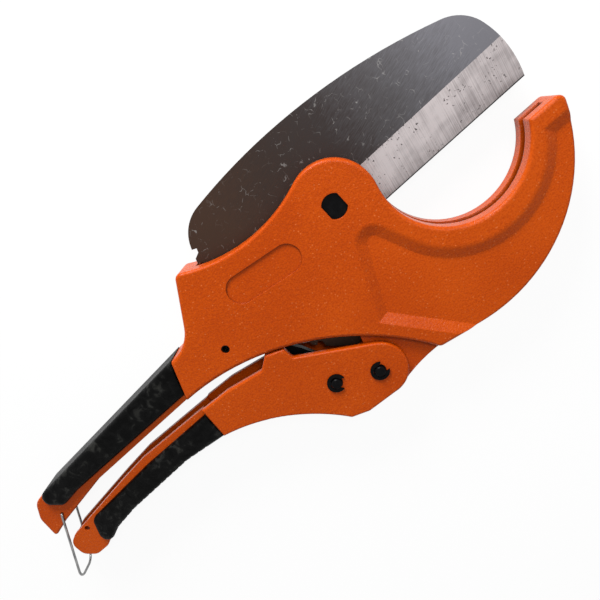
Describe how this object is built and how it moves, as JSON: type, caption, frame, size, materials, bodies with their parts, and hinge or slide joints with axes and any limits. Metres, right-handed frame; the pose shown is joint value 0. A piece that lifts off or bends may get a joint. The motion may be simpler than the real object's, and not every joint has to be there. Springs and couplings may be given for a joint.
{
  "type": "ratcheting plastic pipe cutter",
  "caption": "Ratcheting plastic pipe cutter: slotted cast jaw, toothed blade, pawl-driven handle, rubber grips and a wire lock.",
  "frame": {"origin": "on the blade's pivot axis, in the rear face of the casting, on the flat head of the pivot screw", "axes": "+X along the tool from the handles to the jaw, +Z from the rear face to the front face, +Y towards the blade's back; every hinge turns about Z"},
  "size_m": [0.3859, 0.1491, 0.0269],
  "materials": {
    "body_frame": "orange powder coat on an aluminium casting",
    "moving_handle": "orange powder coat on an aluminium casting",
    "moving_handle_core": "orange powder coat, rear half of the moving handle's casting",
    "blade": "dark coated plate with a bright ground bevel",
    "blade_bush": "plain sintered bronze",
    "blade_washer_front": "black oxide",
    "blade_washer_rear": "black oxide",
    "pivot_bolt": "black oxide, turned",
    "pivot_screw": "black oxide, turned",
    "handle_pin": "black oxide, turned",
    "pawl_pin": "black oxide, turned",
    "handle_pin_clip": "black phosphated spring steel",
    "pawl_pin_clip": "black phosphated spring steel",
    "pawl": "dark hardened steel plate",
    "pawl_spacer_front": "black oxide",
    "pawl_spacer_rear": "black oxide",
    "spring_anchor_pin": "black rolled spring pin",
    "pawl_spring": "music wire",
    "handle_spring": "music wire",
    "lock_bail": "bright zinc plated wire",
    "upper_grip": "moulded black rubber",
    "lower_grip": "moulded black rubber with finger ribs"
  },
  "bodies": {
    "frame": {"body_frame": "body_frame", "pivot_bolt": "pivot_bolt", "pivot_screw": "pivot_screw", "blade_washer_front": "blade_washer_front", "blade_washer_rear": "blade_washer_rear", "spring_anchor_pin": "spring_anchor_pin", "pawl_spring": "pawl_spring", "upper_grip": "upper_grip"},
    "blade": {"blade": "blade", "blade_bush": "blade_bush"},
    "handle": {"moving_handle": "moving_handle", "moving_handle_core": "moving_handle_core", "handle_pin": "handle_pin", "handle_pin_clip": "handle_pin_clip", "pawl_pin": "pawl_pin", "pawl_pin_clip": "pawl_pin_clip", "pawl_spacer_front": "pawl_spacer_front", "pawl_spacer_rear": "pawl_spacer_rear", "lower_grip": "lower_grip", "handle_spring": "handle_spring"},
    "pawl": {"pawl": "pawl"},
    "bail": {"lock_bail": "lock_bail"}
  },
  "joints": [
    {"name": "blade_hinge", "type": "hinge", "parent": "frame", "child": "blade", "pos_m": [0, 0, 0.0125], "axis": [0, 0, 1], "range_deg": [-37, 44]},
    {"name": "handle_hinge", "type": "hinge", "parent": "frame", "child": "handle", "pos_m": [-0.0415, -0.083, 0.0125], "axis": [0, 0, 1], "range_deg": [0, 25], "deforming": ["handle_spring", "pawl_spring"]},
    {"name": "pawl_hinge", "type": "hinge", "parent": "handle", "child": "pawl", "pos_m": [-0.0638, -0.0725, 0.0125], "axis": [0, 0, 1], "range_deg": [-26, 0]},
    {"name": "bail_hinge", "type": "hinge", "parent": "frame", "child": "bail", "pos_m": [-0.2439, -0.0263, 0.0125], "axis": [0, 0, 1], "range_deg": [-90, 30]}
  ],
  "couplings": [
    {"joint": "pawl_hinge", "follows": "handle_hinge", "ratio": -1}
  ]
}
